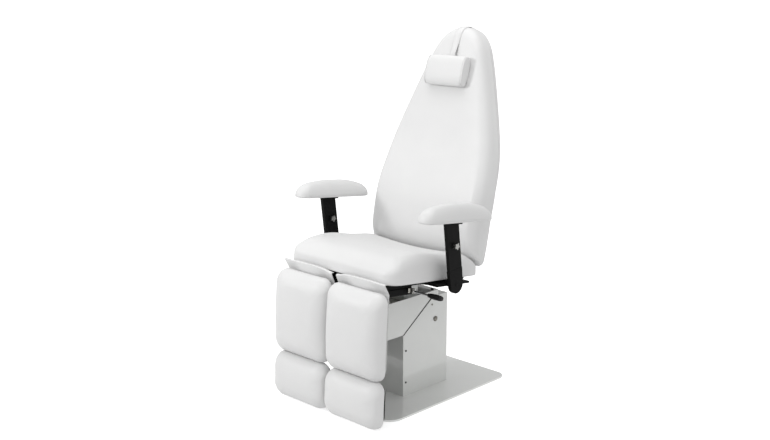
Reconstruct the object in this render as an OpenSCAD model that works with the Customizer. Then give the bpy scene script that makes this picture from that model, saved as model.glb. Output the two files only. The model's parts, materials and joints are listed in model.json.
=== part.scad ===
// Podiatry chair: floor plate, motor lift pedestal, swivelling seat with a
// reclining back, folding armrests and two leg rests with sliding foot pads.
// X runs across the chair, -Y is its front, +Z is up. The origin lies on the
// floor, on the axis of the lift column.

/* [Floor plate] */
// Width of the floor plate
plate_w = 500; // [460:5:560]
// Length of the floor plate, front to back
plate_l = 700; // [660:5:780]
// Thickness of the floor plate
plate_t = 8; // [6:1:12]
// Corner radius at the front of the floor plate
plate_front_r = 62; // [30:2:90]
// Corner radius at the back of the floor plate
plate_rear_r = 40; // [20:2:80]

/* [Pedestal] */
// Width of the pedestal housing
housing_w = 220; // [200:5:260]
// Length of the fixed housing, front to back
housing_l = 260; // [250:5:300]
// Height of the fixed housing above the floor plate
housing_h = 376; // [360:4:400]
// Height of the front wall of the fixed housing
front_wall_h = 256; // [220:4:280]
// Sheet thickness of housing and lift cover
sheet_t = 2; // [1.5:0.5:3]
// How far the lift cover stands out in front of the housing
cover_reach = 102; // [80:2:110]
// Height of the lift cover above the top of the fixed housing
cover_rise = 24; // [20:1:30]
// Outer width of the fixed guide mast
mast_w = 120; // [110:2:130]
// Wall thickness of both masts
mast_wall = 4; // [3:0.5:5]
// Travel of the lift
lift_travel = 200; // [150:10:220]

/* [Seat] */
// Width of the seat cushion
seat_w = 570; // [540:10:590]
// Depth of the seat cushion, front to back
seat_d = 500; // [484:4:504]
// Thickness of the seat cushion
seat_t = 98; // [80:2:104]
// How much thinner the seat cushion is at the back
seat_drop = 13; // [6:1:20]
// Tilt of the whole seat, front edge up
seat_tilt = 6.5; // [5:0.5:7]
// Height of the seat's underside above the lift cover
seat_rise = 99; // [96:1:108]
// Width of the seat frame tubes
tube_w = 25; // [20:1:30]
// Height of the seat frame tubes
tube_h = 24; // [20:1:26]
// Distance between the two seat frame tubes, centre to centre
tube_gap = 284; // [276:2:292]

/* [Backrest] */
// Largest width of the backrest
back_w = 586; // [560:2:590]
// Length of the backrest
back_len = 938; // [880:2:980]
// Thickness of the backrest cushion
back_pad_t = 74; // [60:2:78]
// Thickness of the rear shell of the backrest
shell_t = 14; // [10:1:18]
// Lean of the backrest from the vertical
back_lean = 16; // [14:0.5:18]
// Width of the head pillow
pillow_w = 196; // [160:4:240]
// Height of the head pillow
pillow_h = 122; // [100:2:140]
// Thickness of the head pillow
pillow_t = 48; // [40:2:60]

/* [Armrests] */
// Length of an arm pad
arm_len = 384; // [360:4:400]
// Width of an arm pad
arm_w = 76; // [64:2:76]
// Thickness of an arm pad
arm_t = 64; // [48:2:68]
// Distance from the seat's side to the middle of the arm posts
arm_out = 47; // [46:1:60]
// Width of an arm sleeve
sleeve_w = 68; // [62:1:76]
// Thickness of an arm sleeve
sleeve_t = 15; // [14:1:18]
// Height adjustment of an arm pad
arm_travel = 60; // [40:5:70]

/* [Leg rests] */
// Width of one leg pad
leg_w = 284; // [260:2:284]
// Length of a calf pad
calf_len = 334; // [300:2:350]
// Length of a foot pad
foot_len = 182; // [150:2:182]
// Thickness of the calf cushions
leg_pad_t = 72; // [56:1:76]
// Thickness of the foot cushions
foot_pad_t = 66; // [50:1:76]
// Thickness of the boards behind the leg cushions
leg_board_t = 12; // [9:1:15]
// Extension of a foot pad
foot_travel = 120; // [80:5:140]

/* [Hidden] */
$fn = 48;

// Clearances and cuts
overrun = 1;
run_fit = 0.05;
slide_fit = 0.3;
soft_gap = 0.5;
seam_gap = 2;

// Colours
white_vinyl = [0.93, 0.93, 0.93];
grey_paint = [0.8, 0.81, 0.8];
black_steel = [0.08, 0.08, 0.08];
zinc = [0.72, 0.72, 0.7];
chrome = [0.8, 0.8, 0.82];
board_grey = [0.55, 0.55, 0.55];
dark_plastic = [0.12, 0.12, 0.12];

// Pedestal levels and faces
housing_top = plate_t + housing_h;
cover_top_z = housing_top + cover_rise;
front_y = -housing_l / 2;
rear_y = housing_l / 2;
cover_y = front_y - cover_reach;
seam_low_z = plate_t + front_wall_h;
seam_high_share = 0.62;
seam_high_y = front_y + housing_l * seam_high_share;
cover_rear_share = 0.79;
cover_rear_y = front_y + housing_l * cover_rear_share;

// Column
mast_h = housing_h - 2 * plate_t;
glide_t = 3;
glide_h = 40;
glide_w_share = 0.6;
inner_lift = 12;
motor_w = 76;
motor_h = 70;
act_r = 24;
act_wall = 3;
rod_r = 14;
act_h_share = 0.86;

// Head and turntable
head_w = 160;
head_l = 80;
head_h = 34;
head_y = -55;
race_t = 4;
pin_r = 15;
turn_t = 6;
turn_w = 140;
turn_l = 80;
pin_head_r = 24;
pin_head_t = 5;

// Seat frame, in the tilted seat frame
seat_z = cover_top_z + seat_rise;
rail_drop = 22;
frame_drop = 56;
saddle_t = 6;
saddle_l = 150;
saddle_w = 236;
saddle_drop = rail_drop + tube_h + saddle_t;
tube_wall = 2.5;
tube_x = tube_gap / 2;
board_t = 14;
board_inset = 46;
rail_w = 30;
seat_mid = -134.5;
seat_front = seat_mid - seat_d / 2;
seat_rear = seat_mid + seat_d / 2;
frame_front_in = 46.5;
frame_rear_over = 56.5;
frame_front = seat_front + frame_front_in;
frame_rear = seat_rear + frame_rear_over;

// Backrest: foot of its middle plane, in the tilted seat frame, and its hinge
back_set = 19.5;
back_foot_share = 0.351;
back_foot = world(seat_rear - back_set, seat_t * back_foot_share);
back_t = back_pad_t + shell_t;
hinge_back = 84;
hinge_low = 23;
yoke_t = 8;
yoke_r = 20;
back_pin_r = 8;
back_arm_t = 8;
arm_play = 1;
back_arm_x = tube_x + tube_w / 2 - arm_play;
back_pivot = [hinge_back, -hinge_low];
pivot_y = back_foot.x + back_pivot.x * cos(back_lean) + back_pivot.y * sin(back_lean);
pivot_z = back_foot.y - back_pivot.x * sin(back_lean) + back_pivot.y * cos(back_lean);
seat_pivot = to_seat(pivot_y, pivot_z);

// Leg hinge
leg_axis_in = 3.9;
leg_axis_v = seat_front + leg_axis_in;
leg_axis_w = -16.2;
leg_lean = 3;
leg_axis = world(leg_axis_v, leg_axis_w);
leg_pin_r = 6;
leg_sleeve_r = 8.5;
leg_sleeve_w = 50;
leg_gap = 5;
leg_x = leg_gap / 2 + leg_w / 2;
leg_rear_f = -1.7;
calf_top = 9;
foot_gap = 2;
foot_top = calf_top + calf_len + foot_gap;
leg_tube_w = 44;
leg_tube_t = 24;
leg_tube_wall = 3;
leg_tube_top = 26;
leg_tube_short = 40;
leg_tube_len = calf_len - leg_tube_short;

// Armrest pivot, in the tilted seat frame
arm_x = seat_w / 2 + arm_out;
arm_v = -82;
arm_w0 = -10;
post_lean = 13.5;
arm_end_r = 34;
arm_pin_r = 8;
seam_q = 62;
knob_q = 155;
pad_w0 = 230;
pad_mid_v = -114;
flange_t = 6;

// Levers, in the tilted seat frame
lever_v = -135;
lever_w = -64;
lever_r = 4;
lever_len = 97;
grip_r = 11;
grip_len = 71;

// From the tilted seat frame to world Y and Z, and back
function world(v, w) = [
    v * cos(seat_tilt) + w * sin(seat_tilt),
    seat_z - v * sin(seat_tilt) + w * cos(seat_tilt)
];
function to_seat(y, z) = [
    y * cos(seat_tilt) - (z - seat_z) * sin(seat_tilt),
    y * sin(seat_tilt) + (z - seat_z) * cos(seat_tilt)
];

// Shared shapes

module at_seat() {
    translate([0, 0, seat_z]) rotate([-seat_tilt, 0, 0]) children();
}

// The back's frame: x across, y along the thickness towards the rear, z up the back
module at_back() {
    translate([0, back_foot.x, back_foot.y]) rotate([-back_lean, 0, 0]) children();
}

// A leg's frame: origin on the hinge, y towards the rear, z up the leg
module at_leg(side) {
    translate([side * leg_x, leg_axis.x, leg_axis.y]) rotate([-leg_lean, 0, 0]) children();
}

// An arm post's frame: origin on the pivot, z up the post
module at_post(side) {
    at_seat() translate([side * arm_x, arm_v, arm_w0]) rotate([post_lean, 0, 0]) children();
}

module block(x, y, z) {
    translate([x[0], y[0], z[0]]) cube([x[1] - x[0], y[1] - y[0], z[1] - z[0]]);
}

// A round bar along X from x0 to x1
module bar_x(r, x0, x1) {
    translate([x0, 0, 0]) rotate([0, 90, 0]) cylinder(r = r, h = x1 - x0);
}

// A plate in the YZ plane, its outline given as [y, z], from x0 to x1
module side_plate(x0, x1) {
    translate([x0, 0, 0]) rotate([90, 0, 90]) linear_extrude(x1 - x0) children();
}

module rounded_rect(w, l, r_front, r_rear) {
    intersection() {
        union() {
            translate([-w / 2, -l / 2 + r_front]) square([w, l - r_front - r_rear]);
            for (s = [-1, 1]) {
                translate([s * (w / 2 - r_front), -l / 2 + r_front]) circle(r_front);
                translate([s * (w / 2 - r_rear), l / 2 - r_rear]) circle(r_rear);
            }
            translate([-w / 2 + r_front, -l / 2]) square([w - 2 * r_front, l / 2]);
            translate([-w / 2 + r_rear, 0]) square([w - 2 * r_rear, l / 2]);
        }
        square([w, l], center = true);
    }
}

module tube_box(w, d, h, wall) {
    difference() {
        translate([-w / 2, -d / 2, 0]) cube([w, d, h]);
        translate([-w / 2 + wall, -d / 2 + wall, -overrun])
            cube([w - 2 * wall, d - 2 * wall, h + 2 * overrun]);
    }
}

// A screw head: a low cylinder with a hexagon socket, standing on z = 0
module screw_head(r, h) {
    difference() {
        cylinder(r = r, h = h);
        translate([0, 0, h / 2]) cylinder(r = r / 2, h = h, $fn = 6);
    }
}

// Upholstery: rings of one outline, shrunk and lifted, closed by two caps
function mean_point(ring) = [for (p = ring) 1 / len(ring)] * ring;

module loft(rings) {
    n = len(rings[0]);
    m = len(rings);
    points = concat([for (r = rings) each r], [mean_point(rings[0]), mean_point(rings[m - 1])]);
    sides = [
        for (i = [0:m - 2], j = [0:n - 1])
            let (a = i * n + j, b = i * n + (j + 1) % n, c = b + n, d = a + n)
                each [[a, d, c], [a, c, b]]
    ];
    bottom = [for (j = [0:n - 1]) [m * n, j, (j + 1) % n]];
    top = [for (j = [0:n - 1]) [m * n + 1, (m - 1) * n + (j + 1) % n, (m - 1) * n + j]];
    polyhedron(points, concat(sides, bottom, top));
}

// Rings of [inset, scale, height share]: a drawn-in lower edge, an upright side,
// a round shoulder and a crowned middle
function pad_profile(edge, shoulder, under) = concat(
    [[under, 1, 0], [under * under_share, 1, under_height_share / 2], [0, 1, under_height_share]],
    [
        for (k = [0:shoulder_steps])
            let (a = 90 * k / shoulder_steps)
                [edge * (1 - cos(a)), 1, 1 - shoulder * (1 - sin(a))]
    ],
    [for (s = crown_scale_shares) [edge, s, 1]]
);
under_share = 0.3;
under_height_share = 0.2;
shoulder_steps = 4;
crown_scale_shares = [0.8, 0.52, 0.24];

// The outline changes from that of the foot to that of the face on the way up
function pad_rings(foot, face, half, profile, thick) = [
    for (p = profile) [
        for (j = [0:len(foot) - 1])
            let (
                q = foot[j] * (1 - p[2]) + face[j] * p[2],
                x = q.x * (half.x - p[0]) / half.x * p[1],
                y = q.y * (half.y - p[0]) / half.y * p[1]
            )
                [x, y, p[2] * thick(x / half.x, y / half.y)]
    ]
];

// Where the seat and the back meet, both roll away from each other: the share of
// the full thickness that is left at this distance from the end
function roll(distance, reach, share) = 1 - share * pow(1 - min(1, distance / reach), 2);

// Outlines run counterclockwise, seen from +Z
function corner_box(half, r_rear, r_front, n) = [
    for (q = [0:3], k = [0:n])
        let (
            a = 90 * q + 90 * k / n,
            r = q < 2 ? r_rear : r_front,
            sx = (q == 0 || q == 3) ? 1 : -1,
            sy = q < 2 ? 1 : -1
        )
            [sx * (half.x - r) + r * cos(a), sy * (half.y - r) + r * sin(a)]
];

// A round-cornered outline whose long sides carry middle points, pulled in a little
function pad_outline(half, r_rear, r_front, n, draw_in) = let (
    c = corner_box(half, r_rear, r_front, n)
) [
    for (q = [0:3]) each concat(
        [for (k = [0:n]) c[q * (n + 1) + k]],
        let (
            last = c[q * (n + 1) + n],
            next = c[((q + 1) % 4) * (n + 1)],
            inward = [-sign(round_off(last.x + next.x)), -sign(round_off(last.y + next.y))]
        )
            [
                for (k = [1:side_steps - 1])
                    let (f = k / side_steps)
                        last * (1 - f) + next * f + inward * draw_in * 4 * f * (1 - f)
            ]
    )
];
function round_off(v) = abs(v) < run_fit ? 0 : v;
side_steps = 4;

// Pedestal, fixed part

module base_plate() {
    color(grey_paint)
        linear_extrude(plate_t) rounded_rect(plate_w, plate_l, plate_front_r, plate_rear_r);
}

module seam_outline() {
    polygon([
        [front_y, plate_t],
        [rear_y, plate_t],
        [rear_y, housing_top],
        [seam_high_y, housing_top],
        [seam_high_y, housing_top - cover_lap],
        [front_y, seam_low_z]
    ]);
}
cover_lap = 6;

module housing_shell() {
    color(grey_paint) {
        for (s = [-1, 1]) mirror([s < 0 ? 1 : 0, 0, 0])
            side_plate(housing_w / 2 - sheet_t, housing_w / 2) seam_outline();
        block([-housing_w / 2 + sheet_t, housing_w / 2 - sheet_t], [rear_y - sheet_t, rear_y],
            [plate_t, housing_top]);
        difference() {
            block([-housing_w / 2 + sheet_t, housing_w / 2 - sheet_t], [seam_high_y, rear_y - sheet_t],
                [housing_top - sheet_t, housing_top]);
            block([-mast_w / 2 - mast_wall, mast_w / 2 + mast_wall],
                [seam_high_y - overrun, mast_w / 2 + mast_wall],
                [housing_top - sheet_t - overrun, housing_top + overrun]);
        }
        for (s = [-1, 1])
            block_pair(s, housing_w / 2 - sheet_t - foot_flange, housing_w / 2 - sheet_t,
                [front_y + sheet_t + flange_gap, rear_y - sheet_t], [plate_t, plate_t + sheet_t]);
    }
}
foot_flange = 18;
flange_gap = 12;

// A block on the +X side, or its mirror image on the -X side
module block_pair(s, x0, x1, y, z) {
    mirror([s < 0 ? 1 : 0, 0, 0]) block([x0, x1], y, z);
}

module housing_front() {
    color(grey_paint) {
        block([-housing_w / 2 + sheet_t, housing_w / 2 - sheet_t], [front_y, front_y + sheet_t],
            [plate_t, seam_low_z - sheet_t]);
        for (s = [-1, 1]) block_pair(s, housing_w / 2 - 2 * sheet_t, housing_w / 2 - sheet_t,
            [front_y + sheet_t, front_y + sheet_t + flange_gap - sheet_t],
            [plate_t, seam_low_z - sheet_t]);
    }
}

module side_screw(y, z, r, h) {
    for (s = [-1, 1]) translate([s * housing_w / 2, y, z]) rotate([0, s * 90, 0]) screw_head(r, h);
}

module housing_screws() {
    color(black_steel) {
        for (share = front_screw_shares)
            side_screw(front_y + front_screw_in, plate_t + housing_h * share,
                small_screw_r, small_screw_h);
    }
}
front_screw_shares = [0.15, 0.5];
front_screw_in = 15;
small_screw_r = 4;
small_screw_h = 1.6;

// Domed cap nuts on the ends of the cross bolts that hold the mast in its housing
module axle_caps() {
    color(zinc) {
        for (s = [-1, 1])
            translate([s * housing_w / 2, rear_y - cap_in, plate_t + housing_h * cap_height_share])
                rotate([0, s * 90, 0]) {
                    cylinder(r = cap_r, h = cap_base_h);
                    translate([0, 0, cap_base_h]) rotate_extrude() intersection() {
                        translate([0, cap_dome_h - cap_dome_r]) circle(cap_dome_r);
                        square([cap_r * cap_dome_share, cap_dome_h]);
                    }
                }
        side_screw(rear_y - small_bolt_in, housing_top - small_bolt_down, small_screw_r, small_screw_h);
    }
}
cap_in = 72;
cap_height_share = 0.746;
cap_r = 11;
cap_base_h = 2.5;
cap_dome_h = 5;
cap_dome_r = 13;
cap_dome_share = 0.85;
small_bolt_in = 92;
small_bolt_down = 32;

module guide_mast() {
    color(zinc) {
        translate([0, 0, plate_t]) tube_box(mast_w, mast_w, mast_h, mast_wall);
        for (s = [-1, 1]) {
            block_pair(s, mast_w / 2, mast_w / 2 + mast_flange, [-mast_w / 2, mast_w / 2],
                [plate_t, plate_t + mast_wall]);
            block_pair(s, mast_w / 2, housing_w / 2 - sheet_t,
                [mast_w / 2 - brace_l, mast_w / 2],
                [plate_t + housing_h * cap_height_share - brace_h / 2,
                    plate_t + housing_h * cap_height_share + brace_h / 2]);
        }
    }
}
mast_flange = 25;
brace_h = 24;
brace_l = 13;

module lift_motor() {
    color(dark_plastic) {
        translate([0, 0, plate_t]) linear_extrude(motor_h)
            rounded_rect(motor_w, motor_w, motor_r, motor_r);
    }
}
motor_r = 12;

module actuator_tube() {
    color(zinc) translate([0, 0, plate_t + motor_h]) difference() {
        cylinder(r = act_r, h = act_len);
        translate([0, 0, act_wall]) cylinder(r = rod_r + run_fit, h = act_len);
    }
}
act_len = (cover_top_z - plate_t - motor_h) * act_h_share - act_wall;

// Pedestal, lifting part

module cover_side() {
    polygon([
        [cover_y, seam_low_z],
        [front_y - seam_gap, seam_low_z],
        [seam_high_y - seam_gap, housing_top - cover_lap + seam_gap],
        [seam_high_y - seam_gap, housing_top + seam_gap],
        [cover_rear_y, housing_top + seam_gap],
        [cover_rear_y, cover_top_z],
        [cover_y, cover_top_z]
    ]);
}

module lift_cover() {
    inner = housing_w / 2 - sheet_t;
    color(grey_paint) {
        for (s = [-1, 1]) mirror([s < 0 ? 1 : 0, 0, 0]) side_plate(inner, housing_w / 2) cover_side();
        block([-inner, inner], [cover_y, cover_y + sheet_t], [seam_low_z, cover_top_z]);
        block([-inner, inner], [cover_y + sheet_t, cover_y + front_tab],
            [cover_top_z - sheet_t, cover_top_z]);
        block([-inner, inner], [cover_rear_y - sheet_t, cover_rear_y],
            [housing_top + seam_gap, cover_top_z - saddle_t]);
    }
}
front_tab = 30;

module cover_top() {
    inner = housing_w / 2 - sheet_t;
    color(grey_paint) block([-inner, inner], [top_plate_y, cover_rear_y],
        [cover_top_z - saddle_t, cover_top_z]);
}
top_plate_y = -98;

module inner_mast() {
    w = inner_mast_w;
    color(zinc) translate([0, 0, plate_t + motor_h + inner_lift])
        tube_box(w, w, cover_top_z - saddle_t - plate_t - motor_h - inner_lift, mast_wall);
}
inner_mast_w = mast_w - 2 * mast_wall - 2 * glide_t - 2 * slide_fit;

// Sliding pads between the two masts: a pair on each face at the foot of the moving mast
module mast_glides() {
    color(dark_plastic) for (q = [0:3]) rotate([0, 0, 90 * q])
        for (z = [0, glide_step])
            block([-inner_mast_w * glide_w_share / 2, inner_mast_w * glide_w_share / 2],
                [inner_mast_w / 2, inner_mast_w / 2 + glide_t],
                [plate_t + motor_h + inner_lift + z, plate_t + motor_h + inner_lift + z + glide_h]);
}
glide_step = 60;

module actuator_rod() {
    color(chrome) translate([0, 0, plate_t + motor_h + act_wall + slide_fit])
        cylinder(r = rod_r, h = cover_top_z - saddle_t - plate_t - motor_h - act_wall - slide_fit);
}

module head_block() {
    color(grey_paint) difference() {
        union() {
            block([-head_w / 2, head_w / 2], [head_y - head_l / 2, head_y + head_l / 2],
                [cover_top_z, cover_top_z + head_h]);
            translate([0, head_y, cover_top_z + head_h]) cylinder(r = race_r, h = race_t);
        }
        translate([0, head_y, cover_top_z - overrun])
            cylinder(r = pin_r, h = head_h + race_t + 2 * overrun);
    }
}
race_r = 38;
turn_z = cover_top_z + head_h + race_t + slide_fit;

module king_pin() {
    color(zinc) translate([0, head_y, 0]) {
        translate([0, 0, cover_top_z]) cylinder(r = pin_r, h = turn_z + turn_t + slide_fit - cover_top_z);
        translate([0, 0, turn_z + turn_t + slide_fit]) cylinder(r = pin_head_r, h = pin_head_t, $fn = 6);
    }
}

module cover_screws() {
    color(black_steel) {
        for (x = [-1, 1]) translate([x * cover_screw_x, cover_rear_y - cover_screw_in, cover_top_z])
            screw_head(cover_screw_r, cover_screw_h);
        for (x = [-1, 1])
            translate([x * head_w / 2, head_y + head_l / 2 - head_screw_in, cover_top_z + head_h / 2])
                rotate([0, x * 90, 0]) screw_head(small_screw_r, small_screw_h);
    }
}
cover_screw_x = 94;
cover_screw_in = 20;
cover_screw_r = 6;
cover_screw_h = 3.2;
head_screw_in = 23;

// Seat, turning part

function saddle_z(y) = seat_z - saddle_drop / cos(seat_tilt) - y * tan(seat_tilt);

module turntable() {
    half = turn_w / 2;
    y0 = head_y - turn_l / 2;
    y1 = head_y + turn_l / 2;
    color(black_steel) {
        difference() {
            block([-half, half], [y0, y1], [turn_z, turn_z + turn_t]);
            translate([0, head_y, turn_z - overrun])
                cylinder(r = pin_r + run_fit, h = turn_t + 2 * overrun);
        }
        for (s = [-1, 1]) mirror([s < 0 ? 1 : 0, 0, 0]) side_plate(half - web_t, half)
            polygon([
                [y0, turn_z + turn_t / 2],
                [y1, turn_z + turn_t / 2],
                [y1, saddle_z(y1) + saddle_t / 2],
                [y0, saddle_z(y0) + saddle_t / 2]
            ]);
        at_seat() block([-saddle_w / 2, saddle_w / 2],
            [head_y - saddle_l / 2, head_y + saddle_l / 2],
            [-saddle_drop, -saddle_drop + saddle_t]);
    }
}
web_t = 8;

// A square tube along the seat from v0 to v1, its top this far below the seat's underside
module tube_v(x, drop, v0, v1) {
    translate([x, v0, -drop - tube_h / 2]) rotate([-90, 0, 0])
        tube_box(tube_w, tube_h, v1 - v0, tube_wall);
}

// Two rails under the seat with four cross tubes, and a short leg carrier hung below each rail
module seat_frame() {
    carrier_rear = lever_v + carrier_over;
    color(black_steel) at_seat() {
        for (s = [-1, 1]) {
            tube_v(s * tube_x, rail_drop, frame_front, frame_rear);
            tube_v(s * tube_x, frame_drop, frame_front, carrier_rear);
            block([s * tube_x - carrier_pad_w / 2, s * tube_x + carrier_pad_w / 2],
                [frame_front, carrier_rear], [-frame_drop, -rail_drop - tube_h]);
        }
        for (v = [frame_front + cross_in, head_y - head_cross, head_y + head_cross, frame_rear - cross_in])
            translate([-tube_x + tube_w / 2, v, -rail_drop - tube_h / 2]) rotate([0, 90, 0])
                rotate([0, 0, 90]) tube_box(tube_w, tube_h, tube_gap - tube_w, tube_wall);
    }
}
cross_in = 40;
head_cross = 50;
carrier_over = 12;
carrier_pad_w = 17;

module cross_rails() {
    color(black_steel) at_seat() {
        for (v = [front_rail_v, rear_rail_v])
            block([-rail_x, rail_x], [v - rail_w / 2, v + rail_w / 2], [-rail_drop, -board_t]);
    }
}
rail_x = 170;
front_rail_v = -240;
rear_rail_v = 40;

module seat_board() {
    color(board_grey) at_seat() translate([0, seat_mid, -board_t]) linear_extrude(board_t)
        rounded_rect(seat_w - 2 * board_inset, seat_d - 2 * board_inset, board_r, board_r);
}
board_r = 40;

seat_r = 66;
seat_rear_r = 24;
seat_edge = 62;
seat_shoulder_share = 0.62;
seat_under = 14;
seat_dish_share = 0.24;
seat_points = 7;

module seat_cushion() {
    half = [seat_w / 2, seat_d / 2];
    outline = pad_outline(half, seat_rear_r, seat_r, seat_points, seat_draw);
    thick = function(x, y) (seat_t - seat_drop * (y + 1) / 2
        - seat_t * seat_dish_share * (1 - x * x) * (y + 1) / 2)
        * roll((1 - y) * half.y, seat_roll, seat_roll_share)
        * roll((1 + y) * half.y, seat_nose, seat_nose_share);
    color(white_vinyl) at_seat() translate([0, seat_mid, 0])
        loft(pad_rings(outline, outline, half,
            pad_profile(seat_edge, seat_shoulder_share, seat_under), thick));
}
seat_draw = 3;
seat_roll = 110;
seat_roll_share = 0.3;
seat_nose = 150;
seat_nose_share = 0.3;

module arm_mounts() {
    color(black_steel) at_seat() for (s = [-1, 1]) {
        block_pair(s, arm_plate_x, arm_lug_x, [arm_v - arm_plate_l * arm_plate_fore_share,
            arm_v + arm_plate_l * (1 - arm_plate_fore_share)], [-board_t - arm_plate_t, -board_t]);
        mirror([s < 0 ? 1 : 0, 0, 0]) side_plate(arm_lug_x - arm_plate_t, arm_lug_x) {
            translate([arm_v, arm_w0]) circle(arm_lug_r);
            translate([arm_v - arm_lug_r, -board_t - arm_plate_t])
                square([2 * arm_lug_r, board_t + arm_plate_t + arm_w0]);
        }
        translate([s * arm_lug_x, arm_v, arm_w0]) rotate([0, s * 90, 0]) {
            cylinder(r = arm_boss_r, h = arm_x - sleeve_t / 2 - slide_fit - arm_lug_x);
            cylinder(r = arm_pin_r, h = arm_x + sleeve_t / 2 + pin_proud - arm_lug_x);
        }
    }
}
arm_plate_x = 176;
arm_plate_l = 190;
arm_plate_fore_share = 0.36;
arm_plate_t = 8;
lug_out = 15;
arm_lug_x = seat_w / 2 + lug_out;
arm_lug_r = 15;
arm_boss_r = 13;
pin_proud = 1;

// Bolts: board to rails, arm mounts to board, rails to frame
module frame_bolts() {
    color(black_steel) at_seat() for (s = [-1, 1]) {
        for (v = bolt_vs)
            translate([s * bolt_x, v, -board_t - arm_plate_t - bolt_h])
                cylinder(r = bolt_r, h = bolt_h, $fn = 6);
    }
}
bolt_vs = [-128, -40, 0];
bolt_x = 228;
bolt_r = 7;
bolt_h = 6;

// Cheeks and back plate that hold a leg's hinge pin at the front of a frame tube
module leg_brackets() {
    inner = leg_sleeve_w / 2 + slide_fit;
    outer = inner + cheek_t;
    color(black_steel) at_seat() for (s = [-1, 1]) translate([s * leg_x, 0, 0]) {
        block([-outer, outer], [frame_front - cheek_back_t, frame_front],
            [-frame_drop - tube_h, -frame_drop + cheek_up]);
        for (c = [-1, 1]) mirror([c < 0 ? 1 : 0, 0, 0]) side_plate(inner, outer) difference() {
            union() {
                translate([leg_axis_v, leg_axis_w]) circle(cheek_r);
                polygon([
                    [leg_axis_v + cheek_r * cos(45), leg_axis_w + cheek_r * sin(45)],
                    [leg_axis_v - cheek_r * cos(45), leg_axis_w - cheek_r * sin(45)],
                    [frame_front, -frame_drop - tube_h],
                    [frame_front, -frame_drop + cheek_up]
                ]);
            }
            translate([leg_axis_v, leg_axis_w]) circle(leg_pin_r);
        }
    }
}
cheek_t = 8;
cheek_r = 9;
cheek_up = 12;
cheek_back_t = 4;

// Cheeks that carry the two leg release levers, and the clips of the release bail
module lever_brackets() {
    x0 = tube_x + tube_w / 2;
    color(zinc) at_seat() {
        for (s = [-1, 1]) block_pair(s, x0, x0 + lever_cheek_t, [lever_v - lever_base, lever_v + lever_base],
            [lever_w - lever_eye_r, lever_w + lever_eye_r]);
        for (s = [-1, 1], c = [-1, 1]) mirror([s < 0 ? 1 : 0, 0, 0])
            translate([0, lever_v + c * (lever_eye_t / 2 + slide_fit + lever_cheek_t / 2), 0])
                block([x0, x0 + lever_out + lever_eye_r],
                    [-lever_cheek_t / 2, lever_cheek_t / 2], [lever_w - lever_eye_r, lever_w + lever_eye_r]);
        for (s = [-1, 1]) translate([s * (x0 + lever_out), lever_v, lever_w]) rotate([90, 0, 0])
            cylinder(r = lever_pin_r, h = lever_eye_t + 2 * lever_cheek_t, center = true);
        for (v = bail_vs) block([bail_x - bail_clip / 2, bail_x + bail_clip / 2],
            [v - bail_clip / 2, v + bail_clip / 2], [bail_w + bail_r + slide_fit, -board_t]);
    }
}
lever_base = 12;
lever_out = 12;
lever_eye_r = 9;
lever_hub_r = 8;
lever_eye_t = 8;
lever_cheek_t = 3;
lever_pin_r = 3;
bail_x = 166;
bail_w = -30;
bail_r = 2.5;
bail_clip = 8;
bail_vs = [-132, -68];
bail_reach = 46;
bail_bend = 12;

module lever(side) {
    x0 = tube_x + tube_w / 2 + lever_out;
    color(chrome) at_seat() mirror([side < 0 ? 1 : 0, 0, 0]) translate([x0, lever_v, lever_w]) {
        difference() {
            union() {
                rotate([90, 0, 0]) cylinder(r = lever_hub_r, h = lever_eye_t, center = true);
                bar_x(lever_r, 0, lever_len);
            }
            rotate([90, 0, 0])
                cylinder(r = lever_pin_r + run_fit, h = lever_eye_t + 2 * overrun, center = true);
        }
    }
}
module lever_left() { lever(1); }
module lever_right() { lever(-1); }

module lever_grip(side) {
    x0 = tube_x + tube_w / 2 + lever_out + lever_len - grip_socket;
    color(dark_plastic) at_seat() mirror([side < 0 ? 1 : 0, 0, 0]) translate([x0, lever_v, lever_w])
        rotate([0, 90, 0]) rotate_extrude() difference() {
            polygon([for (p = grip_shares) [grip_r * p.x, grip_len * p.y]]);
            translate([0, -overrun]) square([lever_r, grip_socket + overrun]);
        }
}
grip_socket = 14;
// Half widths along the grip, as shares of its radius and length
grip_shares = [[0, 0], [0.62, 0], [0.86, 0.16], [1, 0.5], [0.96, 0.84], [0.7, 0.97], [0, 1]];
module lever_grip_left() { lever_grip(1); }
module lever_grip_right() { lever_grip(-1); }

module release_bail() {
    mid = (bail_vs[0] + bail_vs[1]) / 2;
    half = (bail_vs[1] - bail_vs[0]) / 2;
    color(zinc) at_seat() translate([bail_x, mid, bail_w]) {
        for (s = [-1, 1]) {
            translate([0, s * half, 0]) bar_x(bail_r, 0, bail_reach - bail_bend);
            translate([bail_reach - bail_bend, s * (half - bail_bend), 0]) intersection() {
                rotate_extrude() translate([bail_bend, 0]) circle(bail_r);
                translate([0, s < 0 ? -bail_bend - bail_r : 0, -bail_r])
                    cube([bail_bend + bail_r, bail_bend + bail_r, 2 * bail_r]);
            }
            translate([0, s * half, 0]) rotate([90, 0, 0]) cylinder(r = bail_r, h = bail_clip, center = true);
        }
        translate([bail_reach, 0, 0]) rotate([90, 0, 0])
            cylinder(r = bail_r, h = 2 * (half - bail_bend), center = true);
    }
}

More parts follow.
